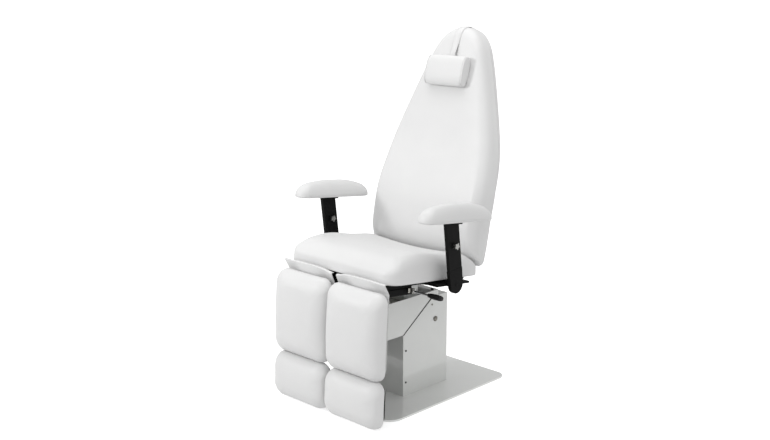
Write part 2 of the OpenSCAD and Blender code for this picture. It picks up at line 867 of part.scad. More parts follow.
// Plates that carry the recline shaft at the back of the frame tubes
module back_yokes() {
    x0 = tube_x + tube_w / 2;
    color(black_steel) at_seat() for (s = [-1, 1]) mirror([s < 0 ? 1 : 0, 0, 0])
        side_plate(x0, x0 + yoke_t) difference() {
            union() {
                translate(seat_pivot) circle(yoke_r);
                polygon([
                    seat_pivot + [yoke_r, 0],
                    seat_pivot - [yoke_r, 0],
                    [frame_rear - yoke_foot, -rail_drop],
                    [frame_rear - yoke_foot, -rail_drop - tube_h],
                    [frame_rear, -rail_drop - tube_h],
                    [frame_rear + yoke_r * yoke_heel_share, -rail_drop]
                ]);
            }
            translate(seat_pivot) circle(back_pin_r);
        }
}
yoke_foot = 62;
yoke_heel_share = 0.6;
back_eye_r = 19;

// The recline shaft, and one pin for each leg
module hinge_pins() {
    x1 = tube_x + tube_w / 2 + yoke_t + pin_proud;
    color(zinc) at_seat() {
        translate([0, seat_pivot.x, seat_pivot.y]) bar_x(back_pin_r, -x1, x1);
        for (s = [-1, 1]) translate([s * leg_x, leg_axis_v, leg_axis_w])
            bar_x(leg_pin_r, -leg_pin_half, leg_pin_half);
    }
}
leg_pin_half = leg_sleeve_w / 2 + cheek_t + pin_proud;

// Backrest

module back_arms() {
    color(black_steel) at_back() for (s = [-1, 1]) mirror([s < 0 ? 1 : 0, 0, 0]) {
        side_plate(back_arm_x - back_arm_t, back_arm_x) difference() {
            union() {
                translate(back_pivot) circle(back_eye_r);
                polygon([
                    [back_t / 2 + arm_foot_t, back_len * arm_foot_low_share],
                    back_pivot - [back_eye_r, 0],
                    back_pivot + [back_eye_r, 0],
                    [back_t / 2 + arm_foot_t + yoke_r, back_len * arm_foot_high_share],
                    [back_t / 2 + arm_foot_t, back_len * arm_foot_high_share]
                ]);
            }
            translate(back_pivot) circle(back_pin_r + run_fit);
        }
        block([back_arm_x - arm_foot_w, back_arm_x], [back_t / 2, back_t / 2 + arm_foot_t],
            [back_len * arm_foot_low_share, back_len * arm_foot_high_share]);
    }
}
arm_foot_t = 4;
arm_foot_w = 40;
arm_foot_low_share = 0.055;
arm_foot_high_share = 0.28;

// Half widths up the back, as shares of its length and of its half width
back_outline_shares = [
    [0.02, 0.985], [0.16, 1], [0.33, 0.975], [0.5, 0.885], [0.71, 0.672],
    [0.866, 0.478], [0.94, 0.335], [0.985, 0.165], [1, 0]
];
back_corner_share = 0.08;
back_corner_steps = 3;
back_corner_turn = 67.5;
curve_steps = 3;
back_edge = 52;
back_shoulder_share = 0.66;
back_under = 9;
back_roll = 110;
back_roll_share = 0.72;
shell_inset = 14;

function bend(a, b, c, d, t) = 0.5 * (2 * b + (c - a) * t + (2 * a - 5 * b + 4 * c - d) * t * t
    + (3 * b - a - 3 * c + d) * t * t * t);

function back_side(half) = let (
    s = back_outline_shares,
    last = len(s) - 1,
    r = half.x * back_corner_share,
    low = s[0]
) concat(
    [
        for (k = [0:back_corner_steps])
            let (a = back_corner_turn * k / back_corner_steps - 90)
                [half.x * low.y - r + r * cos(a), -half.y + r + r * sin(a)]
    ],
    [
        for (i = [0:last - 1], k = [0:curve_steps - 1])
            let (
                a = s[max(i - 1, 0)],
                d = i + 2 > last ? [s[last - 1].x, -s[last - 1].y] : s[i + 2],
                p = bend(a, s[i], s[i + 1], d, k / curve_steps)
            )
                if (p.x * 2 * half.y > r) [half.x * p.y, (2 * p.x - 1) * half.y]
    ]
);

function back_outline(half) = let (side = back_side(half), n = len(side)) concat(
    side, [[0, half.y]], [for (k = [1:n]) [-side[n - k].x, side[n - k].y]]
);

// Lays a form drawn flat against the back: its height becomes depth to the front
module on_back(y) {
    translate([0, y, back_len / 2]) rotate([90, 0, 0]) children();
}

module back_shell() {
    half = [back_w / 2, back_len / 2];
    color(white_vinyl) at_back() on_back(back_t / 2)
        linear_extrude(shell_t) polygon([
            for (p = back_outline(half))
                [p.x * (half.x - shell_inset) / half.x, p.y * (half.y - shell_inset) / half.y]
        ]);
}

module back_cushion() {
    half = [back_w / 2, back_len / 2];
    outline = back_outline(half);
    thick = function(x, y) back_pad_t * roll((y + 1) * half.y, back_roll, back_roll_share);
    color(white_vinyl) at_back() on_back(back_t / 2 - shell_t)
        loft(pad_rings(outline, outline, half,
            pad_profile(back_edge, back_shoulder_share, back_under), thick));
}

// Strap over the top of the back, on the line of the cushion's crown
module head_strap() {
    function arc(grow) = [
        for (k = [0:strap_steps])
            let (a = 90 * k / strap_steps)
                [
                    -back_t / 2 + back_pad_t * back_shoulder_share * (1 - cos(a)) - grow * cos(a),
                    back_len - back_edge + back_edge * sin(a) + grow * sin(a)
                ]
    ];
    function path(grow) = concat(
        [[-back_t / 2 - grow, back_len * strap_low_share]],
        arc(grow),
        [
            [back_t / 2 - shell_t + grow, back_len + grow],
            [back_t / 2 + grow, back_len - strap_drop],
            [back_t / 2 + grow, back_len * strap_rear_share]
        ]
    );
    outer = path(soft_gap + strap_t);
    inner = path(soft_gap);
    n = len(inner);
    color(white_vinyl) at_back() side_plate(-strap_w / 2, strap_w / 2)
        polygon(concat(inner, [for (k = [1:n]) outer[n - k]]));
}
strap_w = 36;
strap_steps = 6;
strap_t = 2.5;
strap_low_share = 0.77;
strap_rear_share = 0.88;
strap_drop = 8;

// Head pillow: a D-shaped section carried across, a little fuller in the middle
module head_pillow() {
    mid_z = back_len * pillow_mid_share;
    back_y = -back_t / 2 - soft_gap - strap_t - soft_gap;
    rings = [
        for (e = pillow_end_shares) [
            for (k = [0:pillow_points - 1])
                let (
                    a = 360 * k / pillow_points,
                    c = cos(a),
                    s = sin(a),
                    flat = c > 0 ? pillow_flat_share : 1
                )
                    [
                        e.x * pillow_w / 2,
                        back_y - pillow_t / 2 * pillow_flat_share
                            + sign(c) * pow(abs(c), pillow_power) * flat * pillow_t / 2 * e.y,
                        mid_z + sign(s) * pow(abs(s), pillow_power) * pillow_h / 2 * e.y
                    ]
        ]
    ];
    color(white_vinyl) at_back() loft(rings);
}
pillow_mid_share = 0.79;
pillow_points = 26;
pillow_power = 0.7;
pillow_flat_share = 0.85;
pillow_end_shares = [
    [-1, 0.9], [-0.98, 0.96], [-0.6, 0.99], [0, 1], [0.6, 0.99], [0.98, 0.96], [1, 0.9]
];

// Leg rests

module leg_tube(side) {
    rear = -leg_rear_f;
    color(black_steel) at_leg(side) difference() {
        union() {
            bar_x(leg_sleeve_r, -leg_sleeve_w / 2, leg_sleeve_w / 2);
            block([-leg_neck_w / 2, leg_neck_w / 2], [rear, rear + leg_tube_t - leg_tube_wall],
                [-leg_tube_top - leg_tube_wall, 0]);
            translate([0, rear + leg_tube_t / 2, -leg_tube_top - leg_tube_len])
                tube_box(leg_tube_w, leg_tube_t, leg_tube_len, leg_tube_wall);
        }
        bar_x(leg_pin_r + run_fit, -leg_sleeve_w, leg_sleeve_w);
    }
}
leg_neck_w = 38;
module leg_tube_left() { leg_tube(1); }
module leg_tube_right() { leg_tube(-1); }

module calf_board(side) {
    color(board_grey) at_leg(side) translate([0, -leg_rear_f, 0]) rotate([90, 0, 0])
        linear_extrude(leg_board_t) translate([0, -calf_top - calf_len / 2 - leg_board_drop / 2])
            rounded_rect(leg_w - 2 * leg_board_in, calf_len - 2 * leg_board_in - leg_board_drop,
                leg_board_r, leg_board_r);
}
leg_board_in = 14;
leg_board_drop = 24;
leg_board_r = 34;
module calf_board_left() { calf_board(1); }
module calf_board_right() { calf_board(-1); }

leg_foot_r = 36;
leg_face_r = 74;
leg_edge = 54;
leg_shoulder_share = 0.74;
leg_under = 12;
leg_points = 5;
leg_draw = 2;
leg_crown_share = 0.15;

module leg_cushion(side, top, length, pad_t) {
    half = [leg_w / 2, length / 2];
    thick = function(x, y) pad_t * (1 - leg_crown_share * y * y);
    color(white_vinyl) at_leg(side) translate([0, -leg_rear_f - leg_board_t, -top - length / 2])
        rotate([90, 0, 0])
            loft(pad_rings(pad_outline(half, leg_foot_r, leg_foot_r, leg_points, leg_draw),
                pad_outline(half, leg_face_r, leg_face_r, leg_points, leg_draw), half,
                pad_profile(leg_edge, leg_shoulder_share, leg_under), thick));
}
module calf_cushion_left() { leg_cushion(1, calf_top, calf_len, leg_pad_t); }
module calf_cushion_right() { leg_cushion(-1, calf_top, calf_len, leg_pad_t); }
module foot_cushion_left() { leg_cushion(1, foot_top, foot_len, foot_pad_t); }
module foot_cushion_right() { leg_cushion(-1, foot_top, foot_len, foot_pad_t); }

// A bent sheet in front of the hinge, its tail on the rear of the calf board
module knee_flap(side) {
    path = [
        [-flap_front, flap_up],
        [-flap_apex, -flap_apex_down],
        [-leg_rear_f, -flap_foot_down],
        [-leg_rear_f, -flap_tail_down]
    ];
    n = len(path);
    color(white_vinyl) at_leg(side) difference() {
        side_plate(-flap_w / 2, flap_w / 2)
            polygon(concat(path, [for (k = [1:n]) path[n - k] + [flap_t, 0]]));
        block([-leg_tube_w / 2 - overrun, leg_tube_w / 2 + overrun], [-leg_tube_t, leg_tube_t],
            [-flap_tail_down - overrun, -flap_slot_down]);
    }
}
flap_w = 256;
flap_t = 2;
flap_front = 8;
flap_up = 15;
flap_apex = 16;
flap_apex_down = 4;
flap_foot_down = 27;
flap_tail_down = 70;
flap_slot_down = 18;
module knee_flap_left() { knee_flap(1); }
module knee_flap_right() { knee_flap(-1); }

// Sliding bar inside the leg tube, with the board of the foot pad on its end
module foot_bar(side) {
    rear = -leg_rear_f;
    bar_w = leg_tube_w - 2 * leg_tube_wall - 2 * slide_fit;
    bar_t = leg_tube_t - 2 * leg_tube_wall - 2 * slide_fit;
    bar_mid = rear + leg_tube_t / 2;
    foot_low = foot_top + foot_len - foot_bar_in;
    color(black_steel) at_leg(side) {
        translate([0, bar_mid, -foot_low])
            tube_box(bar_w, bar_t, foot_low - foot_bar_top, leg_tube_wall);
        block([-bar_w / 2, bar_w / 2], [rear, bar_mid - bar_t / 2],
            [-foot_low, -foot_top - foot_bar_in / 2]);
        translate([0, rear, 0]) rotate([90, 0, 0]) linear_extrude(leg_board_t)
            translate([0, -foot_top - foot_len / 2])
                rounded_rect(leg_w - 2 * leg_board_in, foot_len - 2 * leg_board_in,
                    leg_board_r, leg_board_r);
    }
}
foot_bar_top = 70;
foot_bar_in = 24;
module foot_bar_left() { foot_bar(1); }
module foot_bar_right() { foot_bar(-1); }

// Armrests

module arm_bar(side) {
    color(black_steel) at_post(side) difference() {
        side_plate(-sleeve_t / 2, sleeve_t / 2) {
            circle(arm_end_r);
            polygon([
                [-arm_end_r, 0], [arm_end_r, 0],
                [sleeve_w / 2 + shoulder_w, seam_q - seam_gap / 2],
                [-sleeve_w / 2 - shoulder_w, seam_q - seam_gap / 2]
            ]);
            translate([-tongue_w / 2, 0]) square([tongue_w, tongue_top]);
        }
        for (s = [-1, 1]) block_pair(s, tongue_t / 2, sleeve_t, [-arm_end_r, arm_end_r],
            [seam_q - seam_gap / 2, tongue_top + overrun]);
        bar_x(arm_pin_r + run_fit, -sleeve_t, sleeve_t);
    }
}
shoulder_w = 2;
sleeve_wall = 3.5;
tongue_w = sleeve_w - 2 * sleeve_wall - 2 * slide_fit;
tongue_t = sleeve_t - 2 * sleeve_wall - 2 * slide_fit;
tongue_over = 122;
tongue_top = seam_q + tongue_over;
module arm_bar_left() { arm_bar(1); }
module arm_bar_right() { arm_bar(-1); }

module arm_sleeve(side) {
    color(black_steel) {
        difference() {
            at_post(side) difference() {
                block([-sleeve_t / 2, sleeve_t / 2], [-sleeve_w / 2, sleeve_w / 2], [seam_q, sleeve_top]);
                block([-sleeve_t / 2 + sleeve_wall, sleeve_t / 2 - sleeve_wall],
                    [-sleeve_w / 2 + sleeve_wall, sleeve_w / 2 - sleeve_wall],
                    [seam_q - overrun, sleeve_top + overrun]);
                translate([0, 0, knob_q]) bar_x(knob_stem_r + run_fit, 0, sleeve_t);
            }
            at_seat() block([side * arm_x - arm_w, side * arm_x + arm_w], [-arm_len, arm_len],
                [pad_w0 - flange_t / 2, pad_w0 + arm_len]);
        }
        at_seat() translate([side * arm_x, flange_v, pad_w0 - flange_t])
            linear_extrude(flange_t) rounded_rect(flange_w, flange_l, flange_r, flange_r);
    }
}
sleeve_top = 262;
knob_stem_r = 4;
flange_w = 46;
flange_l = 88;
flange_v = arm_v - (pad_w0 - arm_w0) * tan(post_lean);
flange_r = 8;
module arm_sleeve_left() { arm_sleeve(1); }
module arm_sleeve_right() { arm_sleeve(-1); }

arm_edge_share = 0.45;
arm_shoulder_share = 0.88;
arm_under = 8;
arm_points = 5;
arm_end_share = 0.48;
arm_droop_share = 0.4;
arm_droop_power = 2.6;

module arm_pad(side) {
    half = [arm_w / 2, arm_len / 2];
    outline = pad_outline(half, arm_w * arm_end_share, arm_w * arm_end_share, arm_points, 0);
    thick = function(x, y) arm_t * (1 - arm_droop_share * pow(abs(y), arm_droop_power));
    color(white_vinyl) at_seat() translate([side * arm_x, pad_mid_v, pad_w0])
        loft(pad_rings(outline, outline, half,
            pad_profile(arm_w * arm_edge_share, arm_shoulder_share, arm_under), thick));
}
module arm_pad_left() { arm_pad(1); }
module arm_pad_right() { arm_pad(-1); }

// Clamping knob on the +X face of both posts: a stem, a collar and a lobed head
module arm_knob(side) {
    color(zinc) at_post(side) translate([0, 0, knob_q]) rotate([0, 90, 0]) {
        translate([0, 0, tongue_t / 2 + slide_fit])
            cylinder(r = knob_stem_r, h = sleeve_t / 2 + knob_neck - tongue_t / 2);
        translate([0, 0, sleeve_t / 2 + slide_fit]) cylinder(r = knob_collar_r, h = knob_neck);
        translate([0, 0, sleeve_t / 2 + slide_fit + knob_neck]) linear_extrude(knob_h) difference() {
            circle(knob_r);
            for (k = [0:knob_lobes - 1]) rotate(360 * (k + 1 / 2) / knob_lobes)
                translate([knob_r * scoop_out_share, 0]) circle(knob_r * scoop_r_share);
        }
    }
}
knob_neck = 4;
knob_collar_r = 8;
scoop_out_share = 1.25;
scoop_r_share = 0.55;
knob_h = 12;
knob_r = 13;
knob_lobes = 5;
module arm_knob_left() { arm_knob(1); }
module arm_knob_right() { arm_knob(-1); }

base_plate();
housing_shell();
housing_front();
housing_screws();
axle_caps();
guide_mast();
lift_motor();
actuator_tube();
lift_cover();
cover_top();
inner_mast();
mast_glides();
actuator_rod();
head_block();
king_pin();
cover_screws();
turntable();
seat_frame();
cross_rails();
seat_board();
seat_cushion();
arm_mounts();
frame_bolts();
leg_brackets();
lever_brackets();
back_yokes();
hinge_pins();
back_arms();
back_shell();
back_cushion();
head_strap();
head_pillow();
leg_tube_left();
leg_tube_right();
calf_board_left();
calf_board_right();
calf_cushion_left();
calf_cushion_right();
knee_flap_left();
knee_flap_right();
foot_bar_left();
foot_bar_right();
foot_cushion_left();
foot_cushion_right();
arm_bar_left();
arm_bar_right();
arm_sleeve_left();
arm_sleeve_right();
arm_pad_left();
arm_pad_right();
arm_knob_left();
arm_knob_right();
lever_left();
lever_right();
lever_grip_left();
lever_grip_right();
release_bail();
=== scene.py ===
"""Looks for the podiatry chair: upholstery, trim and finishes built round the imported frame."""

import json
import math

import bmesh
import bpy
import numpy as np
from mathutils import Matrix, Vector
from mathutils.bvhtree import BVHTree


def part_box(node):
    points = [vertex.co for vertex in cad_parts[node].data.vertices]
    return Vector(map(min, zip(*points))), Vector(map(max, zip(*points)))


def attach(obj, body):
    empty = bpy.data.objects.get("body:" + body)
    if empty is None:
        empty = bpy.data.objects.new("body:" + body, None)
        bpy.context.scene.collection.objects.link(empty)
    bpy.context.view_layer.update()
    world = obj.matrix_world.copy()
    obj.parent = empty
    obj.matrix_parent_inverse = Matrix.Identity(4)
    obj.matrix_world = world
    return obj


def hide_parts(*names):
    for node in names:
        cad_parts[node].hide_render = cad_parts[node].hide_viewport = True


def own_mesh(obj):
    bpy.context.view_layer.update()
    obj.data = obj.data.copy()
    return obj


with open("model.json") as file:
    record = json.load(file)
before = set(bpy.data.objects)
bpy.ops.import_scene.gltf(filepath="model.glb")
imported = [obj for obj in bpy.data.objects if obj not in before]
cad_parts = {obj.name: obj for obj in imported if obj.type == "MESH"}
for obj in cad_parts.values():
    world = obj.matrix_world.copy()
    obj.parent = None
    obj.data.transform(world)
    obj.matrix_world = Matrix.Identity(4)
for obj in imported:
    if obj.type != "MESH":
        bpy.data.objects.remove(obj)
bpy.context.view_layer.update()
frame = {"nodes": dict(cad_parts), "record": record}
scene = bpy.context.scene
MM = 0.001

# Camera

CAMERA_AT = (2.9002, -3.1221, 1.6704)
AZIMUTH, ELEVATION = math.radians(44), math.radians(13)
LENS_MM, SENSOR_MM = 51.52, 36

back = Vector((math.sin(AZIMUTH) * math.cos(ELEVATION),
               -math.cos(AZIMUTH) * math.cos(ELEVATION), math.sin(ELEVATION)))
camera = bpy.data.objects.new("camera", bpy.data.cameras.new("camera"))
scene.collection.objects.link(camera)
camera.data.lens, camera.data.sensor_width = LENS_MM, SENSOR_MM
camera.location = CAMERA_AT
camera.rotation_mode = "QUATERNION"
camera.rotation_quaternion = (-back).to_track_quat("-Z", "Y")
scene.camera = camera

# Frames of the pieces, in millimetres

SEAT_TILT, BACK_LEAN, LEG_LEAN = 6.5, 16, 3
SEAT_Z = 507
BACK_HINGE, LEG_HINGE = (99.28, 530.31), (-379.99, 533.99)


def placed(x, y, z, lean):
    """A frame at a point, leaning about the X axis by some degrees."""
    return Matrix.Translation((x, y, z)) @ Matrix.Rotation(math.radians(lean), 4, "X")


AT_SEAT = placed(0, 0, SEAT_Z, -SEAT_TILT)
AT_BACK = placed(0, *BACK_HINGE, -BACK_LEAN)
SIDES = {"left": 1, "right": -1}
LEG_X, ARM_X = 144.5, 332


def at_leg(side):
    """The frame of one leg rest, at its hinge."""
    return placed(side * LEG_X, *LEG_HINGE, -LEG_LEAN)


# Finishes


def new_material(name):
    m = bpy.data.materials.new(name)
    m.use_nodes = True
    tree = m.node_tree
    return m, tree, tree.nodes["Principled BSDF"]


def noise_node(tree, coords, scale, detail=2.0, rough=0.5):
    n = tree.nodes.new("ShaderNodeTexNoise")
    n.inputs["Scale"].default_value = scale
    n.inputs["Detail"].default_value = detail
    n.inputs["Roughness"].default_value = rough
    tree.links.new(coords, n.inputs["Vector"])
    return n.outputs["Fac"]


def spread(tree, value, low, high, start=0.3, end=0.7):
    """Maps a texture value to a range of colour or roughness."""
    n = tree.nodes.new("ShaderNodeMapRange")
    n.inputs["From Min"].default_value, n.inputs["From Max"].default_value = start, end
    n.inputs["To Min"].default_value, n.inputs["To Max"].default_value = low, high
    tree.links.new(value, n.inputs["Value"])
    return n.outputs["Result"]


def tint(tree, value, dark, light):
    n = tree.nodes.new("ShaderNodeMix")
    n.data_type = "RGBA"
    n.inputs["A"].default_value, n.inputs["B"].default_value = (*dark, 1), (*light, 1)
    tree.links.new(value, n.inputs["Factor"])
    return n.outputs["Result"]


def bump(tree, height, distance, strength, below=None):
    n = tree.nodes.new("ShaderNodeBump")
    n.inputs["Distance"].default_value = distance
    n.inputs["Strength"].default_value = strength
    tree.links.new(height, n.inputs["Height"])
    if below is not None:
        tree.links.new(below, n.inputs["Normal"])
    return n.outputs["Normal"]


def object_coords(tree):
    return tree.nodes.new("ShaderNodeTexCoord").outputs["Object"]


def stretched(tree, coords, scale):
    """Coordinates that squeeze a texture along some axes, for drawn lines and fibres."""
    mapping = tree.nodes.new("ShaderNodeMapping")
    mapping.inputs["Scale"].default_value = scale
    tree.links.new(coords, mapping.inputs["Vector"])
    return mapping.outputs["Vector"]


def vinyl():
    """Soft white upholstery vinyl: fine pebble grain, faint waviness and slow changes of tone."""
    m, tree, bsdf = new_material("white_vinyl_leather")
    coords = object_coords(tree)
    tone = spread(tree, noise_node(tree, coords, 6, 3), 0, 1)
    tree.links.new(tint(tree, tone, (0.685, 0.685, 0.685), (0.71, 0.71, 0.708)), bsdf.inputs["Base Color"])
    cells = tree.nodes.new("ShaderNodeTexVoronoi")
    cells.feature = "DISTANCE_TO_EDGE"
    cells.inputs["Scale"].default_value = 620
    tree.links.new(coords, cells.inputs["Vector"])
    grain = bump(tree, cells.outputs["Distance"], 0.00025, 0.25)
    wave = bump(tree, noise_node(tree, coords, 22, 2), 0.004, 0.12, grain)
    tree.links.new(wave, bsdf.inputs["Normal"])
    tree.links.new(spread(tree, noise_node(tree, coords, 90, 3), 0.4, 0.52), bsdf.inputs["Roughness"])
    bsdf.inputs["IOR"].default_value = 1.48
    bsdf.inputs["Sheen Weight"].default_value = 0.05
    bsdf.inputs["Sheen Roughness"].default_value = 0.5
    return m


def paint(name, dark, light, rough, ior, coat, ripple, ripple_scale):
    """Sprayed enamel or powder coat: a fine ripple, under a clear gloss where coat is 1."""
    m, tree, bsdf = new_material(name)
    coords = object_coords(tree)
    tone = spread(tree, noise_node(tree, coords, 9, 3), 0, 1)
    tree.links.new(tint(tree, tone, dark, light), bsdf.inputs["Base Color"])
    tree.links.new(spread(tree, noise_node(tree, coords, 4, 1), rough - 0.02, rough + 0.02),
                   bsdf.inputs["Roughness"])
    tree.links.new(bump(tree, noise_node(tree, coords, ripple_scale, 2), 0.0006, ripple), bsdf.inputs["Normal"])
    bsdf.inputs["IOR"].default_value = ior
    bsdf.inputs["Coat Weight"].default_value = coat
    bsdf.inputs["Coat Roughness"].default_value = 0.06
    return m


def metal(name, colour, rough, stretch):
    """Bare metal with fine drawn lines along its length."""
    m, tree, bsdf = new_material(name)
    coords = object_coords(tree)
    lines = noise_node(tree, stretched(tree, coords, stretch), 300, 3)
    bsdf.inputs["Metallic"].default_value = 1
    tree.links.new(tint(tree, spread(tree, noise_node(tree, coords, 14, 3), 0, 1),
                        tuple(c * 0.88 for c in colour), colour), bsdf.inputs["Base Color"])
    tree.links.new(spread(tree, lines, rough - 0.06, rough + 0.08), bsdf.inputs["Roughness"])
    tree.links.new(bump(tree, lines, 0.0002, 0.15), bsdf.inputs["Normal"])
    return m


def board():
    """Pressed board behind the cushions, with a grey face and faint fibres."""
    m, tree, bsdf = new_material("backing_board_grey")
    coords = object_coords(tree)
    fibres = noise_node(tree, stretched(tree, coords, (1, 8, 8)), 26, 6, 0.65)
    tree.links.new(tint(tree, spread(tree, fibres, 0, 1, 0.35, 0.65), (0.46, 0.46, 0.455), (0.54, 0.54, 0.53)),
                   bsdf.inputs["Base Color"])
    tree.links.new(spread(tree, fibres, 0.55, 0.75), bsdf.inputs["Roughness"])
    tree.links.new(bump(tree, fibres, 0.0005, 0.3), bsdf.inputs["Normal"])
    return m


def plastic():
    """Moulded black plastic with a fine spark texture."""
    m, tree, bsdf = new_material("dark_plastic_moulded")
    coords = object_coords(tree)
    tree.links.new(tint(tree, spread(tree, noise_node(tree, coords, 30, 3), 0, 1),
                        (0.010, 0.010, 0.010), (0.016, 0.016, 0.017)), bsdf.inputs["Base Color"])
    bsdf.inputs["IOR"].default_value = 1.35
    tree.links.new(spread(tree, noise_node(tree, coords, 180, 2), 0.36, 0.5), bsdf.inputs["Roughness"])
    tree.links.new(bump(tree, noise_node(tree, coords, 1400, 2), 0.0002, 0.35), bsdf.inputs["Normal"])
    return m


VINYL = vinyl()
GLOSS = {"rough": 0.24, "ior": 1.5, "coat": 1, "ripple": 0.012, "ripple_scale": 60}
POWDER = {"rough": 0.55, "ior": 1.14, "coat": 0, "ripple": 0.25, "ripple_scale": 700}
FINISHES = {
    "white_vinyl": VINYL,
    "grey_paint": paint("grey_paint_enamel", (0.62, 0.63, 0.615), (0.64, 0.65, 0.635), **GLOSS),
    "black_steel": paint("black_steel_powder", (0.005, 0.005, 0.005), (0.008, 0.008, 0.008), **POWDER),
    "zinc": metal("zinc_plate", (0.62, 0.61, 0.58), 0.32, (1, 1, 12)),
    "chrome": metal("chrome_plate", (0.72, 0.72, 0.74), 0.14, (12, 1, 1)),
    "backing_board": board(),
    "dark_plastic": plastic(),
}

OWN_FINISHES = {
    # The base plate gets a lighter copy of the grey paint: painted light, standing in for the brighter look of
    # its upward face
    "base_plate": paint("grey_paint_lit_plate_copy", (0.74, 0.75, 0.735), (0.76, 0.77, 0.755), **GLOSS),
    "axle_caps": metal("zinc_darkened", (0.20, 0.19, 0.17), 0.34, (1, 1, 1)),
    "arm_knob_left": metal("chrome_dulled", (0.30, 0.30, 0.29), 0.3, (1, 1, 1)),
}
OWN_FINISHES["arm_knob_right"] = OWN_FINISHES["arm_knob_left"]
BEVELLED = {"grey_paint": 0.9, "black_steel": 0.6}
SHARP_EDGE = math.radians(50)

for part in frame["record"]["subparts"]:
    cad = frame["nodes"][part["node"]]
    cad.data.materials.clear()
    cad.data.materials.append(OWN_FINISHES.get(part["node"], FINISHES[part["material_slot"]]))
    if part["material_slot"] in BEVELLED:
        edge = cad.modifiers.new("worn_edge", "BEVEL")
        edge.width, edge.segments = BEVELLED[part["material_slot"]] * MM, 2
        edge.limit_method, edge.angle_limit = "ANGLE", SHARP_EDGE

# Mesh tools

RING_SIZES = {}


def piece_from(name, points, faces, matrix, body, finish, slot):
    """Makes one object of points in millimetres, given in the frame of matrix, and lets it ride on its body."""
    mesh = bpy.data.meshes.new(name)
    mesh.from_pydata([(matrix @ Vector(p)) * MM for p in points], [], faces)
    work = bmesh.new()
    work.from_mesh(mesh)
    bmesh.ops.recalc_face_normals(work, faces=work.faces)
    for f in work.faces:
        f.smooth = True
    work.to_mesh(mesh)
    work.free()
    obj = bpy.data.objects.new(name, mesh)
    scene.collection.objects.link(obj)
    RING_SIZES[name] = sum(len(f) == 3 for f in faces) // 2
    obj.data.materials.append(finish)
    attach(obj, body)
    return obj


def loft(rings, closed_ends=True):
    """Points and faces of a skin over closed rings, each end shut with a fan."""
    n = len(rings[0])
    points = [tuple(p) for ring in rings for p in ring]
    faces = [
        (i * n + j, i * n + (j + 1) % n, (i + 1) * n + (j + 1) % n, (i + 1) * n + j)
        for i in range(len(rings) - 1)
        for j in range(n)
    ]
    if closed_ends:
        for ring, base in ((rings[0], 0), (rings[-1], (len(rings) - 1) * n)):
            centre = len(points)
            points.append(tuple(np.mean(np.array(ring), axis=0)))
            faces += [(centre, base + j, base + (j + 1) % n) for j in range(n)]
    return points, faces


def end_strips(rings):
    """Faces that shut both ends of a flat sheet, whose rings go up one side and down the other."""
    n = len(rings[0])
    return [(base + k, base + k + 1, base + n - 2 - k, base + n - 1 - k)
            for base in (0, (len(rings) - 1) * n) for k in range(n // 2 - 1)]


def spline_point(a, b, c, d, t):
    """The point at t from b to c on the smooth curve through four points."""
    return 0.5 * (2 * b + (c - a) * t + (2 * a - 5 * b + 4 * c - d) * t * t + (3 * b - a - 3 * c + d) * t ** 3)


def spline(points, steps):
    """A smooth curve through points in the plane."""
    p = [np.array(q, float) for q in [points[0], *points, points[-1]]]
    out = [tuple(spline_point(*p[i - 1:i + 3], k / steps)) for i in range(1, len(p) - 2) for k in range(steps)]
    return out + [tuple(p[-2])]


def box_outline(half_x, half_y, radius, draw_in, arc_steps=12, side_steps=14):
    """Counterclockwise outline with round corners. radius is (rear, front), and long sides pull in a little."""
    corners = []
    for q in range(4):
        r = radius[0] if q < 2 else radius[1]
        sx, sy = (1 if q in (0, 3) else -1), (1 if q < 2 else -1)
        corners.append([
            (sx * (half_x - r) + r * math.cos(math.pi / 2 * (q + k / arc_steps)),
             sy * (half_y - r) + r * math.sin(math.pi / 2 * (q + k / arc_steps)))
            for k in range(arc_steps + 1)
        ])
    outline = []
    for q in range(4):
        outline += corners[q]
        last, following = np.array(corners[q][-1]), np.array(corners[(q + 1) % 4][0])
        inward = -np.sign(np.where(np.abs(last + following) < 0.05, 0, last + following))
        for k in range(1, side_steps):
            f = k / side_steps
            outline.append(tuple(last * (1 - f) + following * f + inward * draw_in * 4 * f * (1 - f)))
    return outline


CROWN_SCALES = (0.96, 0.91, 0.85, 0.78, 0.7, 0.61, 0.52, 0.43, 0.34, 0.25, 0.16, 0.08)


def pad_profile(edge, shoulder, under, steps=12):
    """Rings from the foot of the pad to its crown, as (inset, scale, share of the height)."""
    tuck = 0.2
    rows = [(under * (1 - math.sin(math.pi / 2 * k / 5)), 1, tuck * (1 - math.cos(math.pi / 2 * k / 5)))
            for k in range(6)]
    low = 1 - shoulder
    rows += [(0, 1, tuck + (low - tuck) * k / 3) for k in (1, 2)]
    rows += [(edge * (1 - math.cos(math.pi / 2 * k / steps)), 1,
              1 - shoulder * (1 - math.sin(math.pi / 2 * k / steps))) for k in range(steps + 1)]
    rows += [(edge, s, 1) for s in CROWN_SCALES]
    return rows


def pad_rings(foot, face, half, profile, thick):
    """Rings of a pad whose outline changes from its foot to its face on the way up."""
    rings = []
    for inset, scale, height in profile:
        ring = []
        for a, b in zip(foot, face):
            x, y = (p * (1 - height) + q * height for p, q in zip(a, b))
            x *= (half[0] - inset) / half[0] * scale
            y *= (half[1] - inset) / half[1] * scale
            ring.append((x, y, height * thick(x / half[0], y / half[1])))
        rings.append(ring)
    return rings


def roll(distance, reach, share):
    """The factor that rolls a pad down by a share of its height within reach of an end."""
    return 1 - share * (1 - min(1.0, distance / reach)) ** 2


def tilt_up(middle):
    """Lays a form drawn flat with its height along Z against an upright back or leg, at a middle in (y, z)."""
    return Matrix.Translation((0, *middle)) @ Matrix.Rotation(math.pi / 2, 4, "X")

# Seat

SEAT_HALF, SEAT_MID, SEAT_T, SEAT_DROP = (285, 250), -134.5, 98, 13
SEAT_DISH = 0.24
THIGH_SWELL, THIGH_AT, THIGH_SPREAD = 7, -0.25, 0.32
SEAT_REAR_ROLL, SEAT_NOSE_ROLL = (110, 0.3), (150, 0.3)


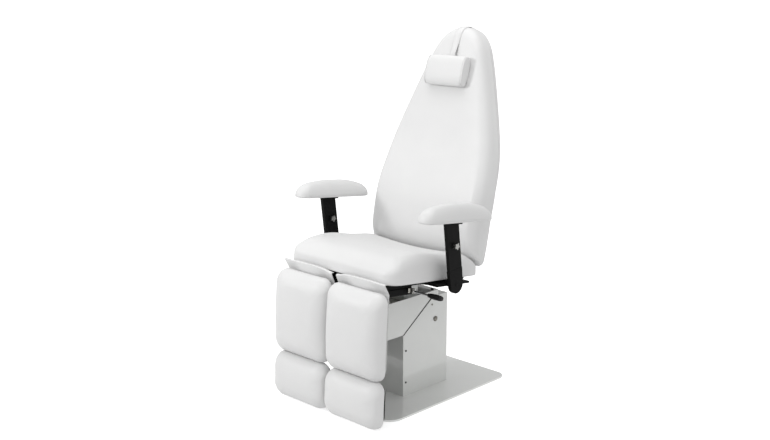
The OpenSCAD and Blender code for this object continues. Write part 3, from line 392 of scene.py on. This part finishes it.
def seat_height(x, y):
    """Thickness of the seat: dished towards the rear, fuller under the thighs, rolled off at nose and rear."""
    dish = SEAT_T * SEAT_DISH * (1 - x * x) * (y + 1) / 2
    thigh = THIGH_SWELL * math.exp(-((y - THIGH_AT) / THIGH_SPREAD) ** 2)
    rear, nose = roll((1 - y) * SEAT_HALF[1], *SEAT_REAR_ROLL), roll((1 + y) * SEAT_HALF[1], *SEAT_NOSE_ROLL)
    return (SEAT_T - SEAT_DROP * (y + 1) / 2 - dish + thigh) * rear * nose


SEAT_LIP = [(60, 1, 0), (47.5, 1, 0), (45, 1, -0.03), (34, 1, -0.045), (18, 1, -0.05), (6, 1, -0.05),
            (2, 1, -0.042), (0.6, 1, -0.015), (0, 1, 0.05)]
seat_rows = SEAT_LIP + pad_profile(58, 0.6, 14)[5:]  # The lip stands in for the rounding at the foot
seat_outline = box_outline(*SEAT_HALF, (24, 58), 3)
seat = piece_from(
    "seat_upholstery",
    *loft(pad_rings(seat_outline, seat_outline, SEAT_HALF, seat_rows, seat_height)),
    AT_SEAT @ Matrix.Translation((0, SEAT_MID, 0)), "seat", VINYL, "white_vinyl")
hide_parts("seat_cushion")

# Backrest

BACK_HALF, BACK_PAD_T, SHELL_T = (293, 469), 74, 14
BACK_T = BACK_PAD_T + SHELL_T
BACK_LEN = 2 * BACK_HALF[1]
BACK_EDGE, BACK_SHOULDER = 44, 0.6
LUMBAR_SWELL, LUMBAR_AT, LUMBAR_SPREAD = 19, -0.5, 0.3
BACK_FOOT_ROLL = (100, 0.78)
CORNER_SHARE, CORNER_TURN = 0.08, 67.5
BACK_SHARES = [(0.02, 0.995), (0.16, 1), (0.33, 0.982), (0.5, 0.893), (0.71, 0.676),
               (0.866, 0.488), (0.94, 0.362), (0.985, 0.2), (1, 0)]


def back_outline(corner_steps=10, curve_steps=9):
    """The egg-shaped back, from its lower right corner over the top and down again."""
    hx, hy = BACK_HALF
    r = hx * CORNER_SHARE
    side = [(hx * BACK_SHARES[0][1] - r + r * math.cos(a), -hy + r + r * math.sin(a))
            for a in (math.radians(-90 + CORNER_TURN * k / corner_steps) for k in range(corner_steps + 1))]
    mirrored = (BACK_SHARES[-2][0], -BACK_SHARES[-2][1])
    knots = [np.array(p) for p in [BACK_SHARES[0], *BACK_SHARES, mirrored]]
    for i in range(len(BACK_SHARES) - 1):
        for k in range(curve_steps):
            p = spline_point(*knots[i:i + 4], k / curve_steps)
            if p[0] * 2 * hy > r:
                side.append((hx * p[1], (2 * p[0] - 1) * hy))
    return side + [(0, hy)] + [(-x, y) for x, y in reversed(side)]


def back_height(x, y):
    """Thickness of the back: fuller at the loins, rolled off at its foot."""
    lumbar = LUMBAR_SWELL * math.exp(-((y - LUMBAR_AT) / LUMBAR_SPREAD) ** 2)
    return (BACK_PAD_T + lumbar) * roll((y + 1) * BACK_HALF[1], *BACK_FOOT_ROLL)


on_back = tilt_up((BACK_T / 2 - SHELL_T, BACK_HALF[1]))
back_pad = piece_from(
    "back_upholstery",
    *loft(pad_rings(back_outline(), back_outline(), BACK_HALF, pad_profile(BACK_EDGE, BACK_SHOULDER, 9),
                    back_height)),
    AT_BACK @ on_back, "backrest", VINYL, "white_vinyl")
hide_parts("back_cushion")

SHELL_NARROWED, SHELL_WAIST_AT, SHELL_WAIST_SPREAD, SHELL_EDGE = 0.035, -0.5, 0.28, 6
shell_half = (BACK_HALF[0] - 6, BACK_HALF[1] - 2)


def shell_waist(y):
    """The shell hides behind the pad, so it is a little narrower where the back is widest."""
    return 1 - SHELL_NARROWED * math.exp(-((y / BACK_HALF[1] - SHELL_WAIST_AT) / SHELL_WAIST_SPREAD) ** 2)


shell_outline = [(x * shell_half[0] / BACK_HALF[0] * shell_waist(y), y * shell_half[1] / BACK_HALF[1])
                 for x, y in back_outline()]
quarter = [math.pi / 2 * k / 5 for k in range(1, 6)]
shell_rows = [(1.5, 1, 0), (0, 1, 0.12), (0, 1, 0.5)]
shell_rows += [(SHELL_EDGE * (1 - math.cos(a)), 1, 0.5 + 0.5 * math.sin(a)) for a in quarter]
shell_rows += [(SHELL_EDGE, s, 1) for s in (0.97, 0.9, 0.75, 0.5, 0.25)]
shell = piece_from(
    "back_shell_cover",
    *loft(pad_rings(shell_outline, shell_outline, shell_half, shell_rows, lambda x, y: -SHELL_T)),
    AT_BACK @ on_back, "backrest", VINYL, "white_vinyl")
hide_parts("back_shell")

# Strap and pillow

STRAP_W, STRAP_T, SOFT_GAP = 36, 1.9, 0.5
STRAP_FOOT, STRAP_STEP, STRAP_STEPS = 0.77, 0.008, 22
LIFT_AT, LIFT_BELOW, LIFT_ABOVE = 0.868, 0.012, 0.036
LIFT_MIDDLE, LIFT_RIGHT = 2, 7
UNLAID_ROWS, RAY_START, RAY_REACH = 5, 0.03, 0.05


def strap_path(grow):
    """The strap's line in (y, z): up the front, over the top and down the rear, grow outside the pad."""
    path = [(-BACK_T / 2 - grow, (STRAP_FOOT + STRAP_STEP * k) * BACK_LEN) for k in range(STRAP_STEPS)]
    for k in range(13):
        a = math.pi / 2 * k / 12
        path.append((-BACK_T / 2 + BACK_PAD_T * BACK_SHOULDER * (1 - math.cos(a)) - grow * math.cos(a),
                     BACK_LEN - BACK_EDGE + BACK_EDGE * math.sin(a) + grow * math.sin(a)))
    path += [(BACK_T / 2 - SHELL_T + grow, BACK_LEN + grow), (BACK_T / 2 + grow, BACK_LEN - 8),
             (BACK_T / 2 + grow, 0.88 * BACK_LEN)]
    return path


def ribbon(name, paths, half_w, matrix, body, rounding=0.8):
    """A flat strap along paths in (y, z), carried across its width, with a stitch line by each edge."""
    outer, inner = paths
    mid = [((a[0] + b[0]) / 2, (a[1] + b[1]) / 2) for a, b in zip(outer, inner)]
    inside = [(half_w, 0.3), (half_w - rounding, 1), (half_w - 3.2, 1), (half_w - 3.8, 0.1), (half_w - 4.4, 1),
              (half_w * 0.4, 1)]
    rings = []
    for x, f in [(-x, f) for x, f in inside] + [(0, 1)] + [(x, f) for x, f in reversed(inside)]:
        up, down = [], []
        for o, m, i in zip(outer, mid, inner):
            low = min(f + 0.5, 1)
            up.append((x, m[0] + (o[0] - m[0]) * f, m[1] + (o[1] - m[1]) * f))
            down.append((x, m[0] + (i[0] - m[0]) * low, m[1] + (i[1] - m[1]) * low))
        rings.append(up + down[::-1])
    points, faces = loft(rings, closed_ends=False)
    return piece_from(name, points, faces + end_strips(rings), matrix, body, VINYL, "white_vinyl")


def strap_lift(across, height):
    """How far the strap stands off the pad: it leaves it towards the pillow, most at its right edge."""
    share = height / BACK_LEN
    spread_out = LIFT_BELOW if share < LIFT_AT else LIFT_ABOVE
    return math.exp(-((share - LIFT_AT) / spread_out) ** 2) * (LIFT_MIDDLE + LIFT_RIGHT * max(across, 0))


def lay_on(strap, pad, matrix, half_w, count, lift):
    """Lays a strap on the front of the swelled pad. Past the top of the pad it stays as it was built."""
    tree = BVHTree.FromObject(pad, bpy.context.evaluated_depsgraph_get())
    points = [v.co.copy() for v in strap.data.vertices]
    laid = count - UNLAID_ROWS
    for first in range(0, len(points), 2 * count):
        shift = Vector((0, 0, 0))
        for k in range(count):
            upper, under = first + k, first + 2 * count - 1 - k
            out = (points[upper] - points[under]).normalized()
            hit = tree.ray_cast(points[under] + out * RAY_START, -out, RAY_REACH)[0] if k < laid else None
            if hit:
                at = matrix.inverted() @ (points[under] / MM)
                shift = hit + out * (SOFT_GAP + lift(at.x / half_w, at.z)) * MM - points[under]
            fade = min(1.0, max(0.0, (count - 1 - k) / UNLAID_ROWS))
            for number in (upper, under):
                points[number] += shift * (1 if hit else fade)
    strap.data.vertices.foreach_set("co", np.array(points, dtype=np.float32).ravel())
    strap.data.update()


strap = ribbon("head_strap_band", (strap_path(SOFT_GAP + STRAP_T), strap_path(SOFT_GAP)), STRAP_W / 2,
               AT_BACK, "backrest")
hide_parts("head_strap")

PILLOW_DEPTH, PILLOW_HEIGHT, PILLOW_MID = 24, 61, 0.79 * BACK_LEN
PILLOW_REAR = -BACK_T / 2 - SOFT_GAP - STRAP_T - SOFT_GAP
PILLOW_FLAT, PILLOW_SHIFT = 0.85, 0.15
GATHER, GATHER_AT, GATHER_SPREAD, PUCKERS = 0.012, 88, 4, 21


def pillow_section(x, swell, count=120):
    """The section of the pillow, round in front and flatter behind, gathered a little at its end seams."""
    ring = []
    gather = GATHER * math.exp(-((abs(x) - GATHER_AT) / GATHER_SPREAD) ** 2)
    for k in range(count):
        angle = 2 * math.pi * k / count
        c, s = math.cos(angle), math.sin(angle)
        flat = PILLOW_FLAT if c > 0 else 1
        low_front = max(0, -c) * max(0, -s)
        flat *= 1 + gather * (1 + 5 * low_front) * math.sin(PUCKERS * angle + 2 * math.sin(3 * angle))
        y = PILLOW_REAR - PILLOW_DEPTH + math.copysign(abs(c) ** 0.78, c) * flat * PILLOW_DEPTH * swell
        ring.append((x, y + PILLOW_DEPTH * PILLOW_SHIFT,
                     PILLOW_MID + math.copysign(abs(s) ** 0.7, s) * PILLOW_HEIGHT * swell))
    return ring


PILLOW_END = [(98, 0.35), (98, 0.7), (97.8, 0.86), (97.2, 0.93), (96.2, 0.96), (95.4, 0.955), (94.6, 0.92),
              (93.6, 0.875), (92.4, 0.865), (91.2, 0.89), (90.2, 0.94), (89, 0.968), (87, 0.98),
              (84, 0.987), (70, 0.992), (50, 0.996), (25, 1)]
pillow_rings = [pillow_section(-x, swell) for x, swell in PILLOW_END] + [pillow_section(0, 1)]
pillow_rings += [pillow_section(x, swell) for x, swell in reversed(PILLOW_END)]
pillow = piece_from("head_pillow_cushion", *loft(pillow_rings), AT_BACK, "pillow", VINYL, "white_vinyl")
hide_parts("head_pillow")

# Leg rests

LEG_HALF_W, LEG_REAR = 142, -10.3
LEG_FOOT_R, LEG_FACE_R, LEG_CROWN = 34, 54, 0.14
CALF_TOP, CALF_LEN, CALF_T = 13, 330, 72
FOOT_TOP, FOOT_LEN, FOOT_T = 345, 182, 66


def leg_cushion(name, side, top, length, thick, body, node):
    """A calf or foot pad, from its top edge below the hinge down."""
    half = (LEG_HALF_W, length / 2)
    foot, face = (box_outline(*half, (r, r), 1) for r in (LEG_FOOT_R, LEG_FACE_R))
    piece = piece_from(
        name,
        *loft(pad_rings(foot, face, half, pad_profile(46, 0.66, 12),
                        lambda x, y: thick * (1 - LEG_CROWN * y * y))),
        at_leg(side) @ tilt_up((LEG_REAR, -top - length / 2)), body, VINYL, "white_vinyl")
    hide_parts(node)


FLAP_ENDS, FLAP_T = (-133, 128), 1.6
FLAP_INNER = [(-4, 12), (-12, 12), (-16, 7), (-9, -8), (-1, -23), (-0.4, -33), (1.7, -46), (1.7, -70)]
FLAP_OUTER = [(-12, 22), (-18, 22), (-21, 18), (-9, -1), (1, -19), (-0.4, -33), (1.7, -46), (1.7, -70)]
OVER_HINGE = [(-12, 24), (-18, 24), (-21, 20), (-17, 0), (-11, -18), (-2, -32), (1.7, -46), (1.7, -70)]
SLOT_HALF, SLOT_TOP, SLOT_REAR = 30, -36, -0.4
INNER_SHARE, HINGE_HALF = 0.22, 70


def knee_flap(name, side, body, node):
    """The folded flap of cover over the hinge, low at its inner end and raised at its outer end."""
    rings = []
    for share in np.linspace(0, 1, 33):
        near = min(1, share / INNER_SHARE)
        blend = near * near * (3 - 2 * near)
        x = side * (FLAP_ENDS[0] * (1 - share) + FLAP_ENDS[1] * share)
        over = math.exp(-(x / HINGE_HALF) ** 4)
        key = [tuple((1 - blend) * np.array(a) + blend * ((1 - over) * np.array(b) + over * np.array(c)))
               for a, b, c in zip(FLAP_INNER, FLAP_OUTER, OVER_HINGE)]
        path = np.array(spline(key, 6))
        path[:, 0] += 0.7 * math.sin(17 * share + 1) * np.exp(-((path[:, 1] - 4) / 18) ** 2)
        if abs(x) < SLOT_HALF:
            below = np.minimum(path[:, 1] - SLOT_TOP, 0)
            path[:, 1] -= below * 0.93
            path[:, 0] = np.where(below < 0, SLOT_REAR, path[:, 0])
        normals = np.stack([-np.gradient(path[:, 1]), np.gradient(path[:, 0])], 1)
        normals /= np.linalg.norm(normals, axis=1)[:, None]
        rings.append([(x, *p) for p in path] + [(x, *p) for p in (path + normals * FLAP_T)[::-1]])
    points, faces = loft(rings, closed_ends=False)
    piece = piece_from(name, points, faces + end_strips(rings), at_leg(side), body, VINYL, "white_vinyl")
    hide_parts(node)
    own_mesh(piece)


for label, side in SIDES.items():
    leg_cushion(f"calf_upholstery_{label}", side, CALF_TOP, CALF_LEN, CALF_T, f"leg_{label}",
                f"calf_cushion_{label}")
    leg_cushion(f"foot_upholstery_{label}", side, FOOT_TOP, FOOT_LEN, FOOT_T, f"foot_{label}",
                f"foot_cushion_{label}")
    knee_flap(f"knee_flap_sheet_{label}", side, f"leg_{label}", f"knee_flap_{label}")

# A black strip on the slanted seam of the pedestal: painted shade, a dark piece put where the seam's gap shows
# only shadow

shell_low, shell_high = (np.array(corner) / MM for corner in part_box("housing_shell"))
SEAM_GAP, SEAM_SHARE, SEAM_DROP = 2, 0.62, 6
seam_low = np.array((shell_low[1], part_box("housing_front")[1][2] / MM + SEAM_GAP))
seam_high = np.array((shell_low[1] + SEAM_SHARE * (shell_high[1] - shell_low[1]), shell_high[2] - SEAM_DROP))
run = seam_high - seam_low
across = np.array((run[1], -run[0])) / np.linalg.norm(run)
# Section of the dark strip that paints the shadow of the seam gap, as (step across, stand-off)
SEAM_SHADE_STRIP = [(0.2, -0.3), (3.6, -0.3), (3.8, 0.2), (3.6, 0.7), (0.6, 0.8), (0.1, 0.4)]
for label, side in SIDES.items():
    rings = []
    for share in np.linspace(0, 1, 9):
        foot = seam_low + run * share
        rings.append([(side * (shell_high[0] + proud), *(foot + across * step)) for step, proud in SEAM_SHADE_STRIP])
    piece_from(f"seam_painted_shade_strip_{label}", *loft(rings), Matrix.Identity(4), "base", FINISHES["dark_plastic"],
               "dark_plastic")

# Arm pads

ARM_HALF, ARM_T, ARM_PAD_Z, ARM_PAD_Y = (38, 192), 64, 230, -114
arm_outline = box_outline(*ARM_HALF, (36.5, 36.5), 0)


def arm_height(x, y):
    """Thickness of an arm pad, which thins towards both ends, most at the rear."""
    return ARM_T * (1.06 - (0.5 if y > 0 else 0.38) * abs(y) ** 2.2)


for label, side in SIDES.items():
    pad = piece_from(
        f"arm_upholstery_{label}",
        *loft(pad_rings(arm_outline, arm_outline, ARM_HALF, pad_profile(34.2, 0.88, 8), arm_height)),
        AT_SEAT @ Matrix.Translation((side * ARM_X, ARM_PAD_Y, ARM_PAD_Z)), f"arm_rest_{label}", VINYL,
        "white_vinyl")
    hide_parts(f"arm_pad_{label}")

# Swelling of the stuffed pieces, by cloth under a light inner pressure

PINNED_ROWS, EASING, PRESSURE = 6, 5, 4
STUFFED = {"seat_upholstery": 5, "back_upholstery": 5}
STUFFED.update({f"{kind}_upholstery_{label}": cap
                for kind, cap in (("calf", 4), ("foot", 4), ("arm", 2.5)) for label in SIDES})


def swell(caps, frames=20):
    """Lets each piece swell by at most its cap in millimetres, with the rows on its board held still."""
    at_rest = {}
    for name in caps:
        piece = scene.objects[name]
        n = RING_SIZES[name]
        held = piece.vertex_groups.new(name="held")
        last = len(piece.data.vertices) - 2
        held.add([*range(PINNED_ROWS * n), last], 1, "REPLACE")
        cloth = piece.modifiers.new("swell", "CLOTH")
        cloth.settings.vertex_group_mass = "held"
        cloth.settings.use_pressure, cloth.settings.uniform_pressure_force = True, PRESSURE
        cloth.settings.effector_weights.gravity = 0
        cloth.collision_settings.use_collision = False
        cloth.point_cache.frame_start, cloth.point_cache.frame_end = 1, frames
        at_rest[name] = np.array([v.co for v in piece.data.vertices])
    for number in range(1, frames + 1):
        scene.frame_set(number)
    graph = bpy.context.evaluated_depsgraph_get()
    for name, cap in caps.items():
        piece = scene.objects[name]
        moved = np.array([v.co for v in piece.evaluated_get(graph).data.vertices])
        step = moved - at_rest[name]
        far = np.maximum(np.linalg.norm(step, axis=1, keepdims=True), 1e-9)
        step *= cap * MM * np.tanh(far / (cap * MM)) / far
        links = np.array([e.vertices for e in piece.data.edges])
        ends = np.concatenate([links, links[:, ::-1]])
        count = np.bincount(ends[:, 0], minlength=len(step))[:, None]
        for _ in range(EASING):
            around = np.zeros_like(step)
            np.add.at(around, ends[:, 0], step[ends[:, 1]])
            step = 0.4 * step + 0.6 * around / count
        at_rest[name] += step
    scene.frame_set(1)
    for name in caps:
        piece = scene.objects[name]
        piece.modifiers.clear()
        piece.vertex_groups.clear()
        piece.data.vertices.foreach_set("co", at_rest[name].astype(np.float32).ravel())
        piece.data.update()


swell(STUFFED)
for name in STUFFED:
    finer = scene.objects[name].modifiers.new("finer", "SUBSURF")
    finer.levels = finer.render_levels = 1
lay_on(strap, scene.objects["back_upholstery"], AT_BACK, STRAP_W / 2, len(strap_path(0)), strap_lift)

# Floor and light

FLOOR, FLOOR_GLOW = 70, 0.55
floor_mesh = bpy.data.meshes.new("floor")
floor_mesh.from_pydata([(-FLOOR, -FLOOR, 0), (FLOOR, -FLOOR, 0), (FLOOR, FLOOR, 0), (-FLOOR, FLOOR, 0)], [],
                       [(0, 1, 2, 3)])
floor = bpy.data.objects.new("floor", floor_mesh)
scene.collection.objects.link(floor)
floor_look, floor_tree, floor_bsdf = new_material("floor_white")
floor_tone = spread(floor_tree, noise_node(floor_tree, object_coords(floor_tree), 1.5, 2), 0, 1)
floor_tree.links.new(tint(floor_tree, floor_tone, (0.93, 0.93, 0.93), (0.95, 0.95, 0.95)),
                     floor_bsdf.inputs["Base Color"])
floor_bsdf.inputs["Roughness"].default_value = 0.7
floor_bsdf.inputs["Emission Color"].default_value = (1, 1, 1, 1)
floor_bsdf.inputs["Emission Strength"].default_value = FLOOR_GLOW
floor.data.materials.append(floor_look)
floor.visible_diffuse = False

world = bpy.data.worlds.new("studio")
world.use_nodes = True
studio = world.node_tree
split = studio.nodes.new("ShaderNodeSeparateXYZ")
studio.links.new(studio.nodes.new("ShaderNodeTexCoord").outputs["Generated"], split.inputs[0])
SKY = {"X": (0.74, 0.99, -0.6, 0.9), "Y": (1, 0.72, -0.2, 0.7), "Z": (0.72, 1, -0.6, 0.1)}
level, *others = [spread(studio, split.outputs[axis], *limits) for axis, limits in SKY.items()]
for other in others:
    times = studio.nodes.new("ShaderNodeMath")
    times.operation = "MULTIPLY"
    studio.links.new(level, times.inputs[0])
    studio.links.new(other, times.inputs[1])
    level = times.outputs[0]
studio.links.new(level, studio.nodes["Background"].inputs["Strength"])
studio.nodes["Background"].inputs["Color"].default_value = (1, 1, 1, 1)
scene.world = world


def softbox(name, at, aim, size, power):
    """A square soft light at a point, turned to what it lights."""
    lamp = bpy.data.lights.new(name, "AREA")
    lamp.shape, lamp.size, lamp.energy = "SQUARE", size, power
    obj = bpy.data.objects.new(name, lamp)
    scene.collection.objects.link(obj)
    obj.location = at
    obj.rotation_mode = "QUATERNION"
    obj.rotation_quaternion = (Vector(aim) - Vector(at)).to_track_quat("-Z", "Y")


softbox("key", (-1.7, -3.4, 2.3), (0, 0, 0.8), 0.6, 50)
softbox("top", (-0.2, 0.1, 4.0), (0, 0, 0.6), 2.6, 42)

scene.view_settings.view_transform = "Standard"
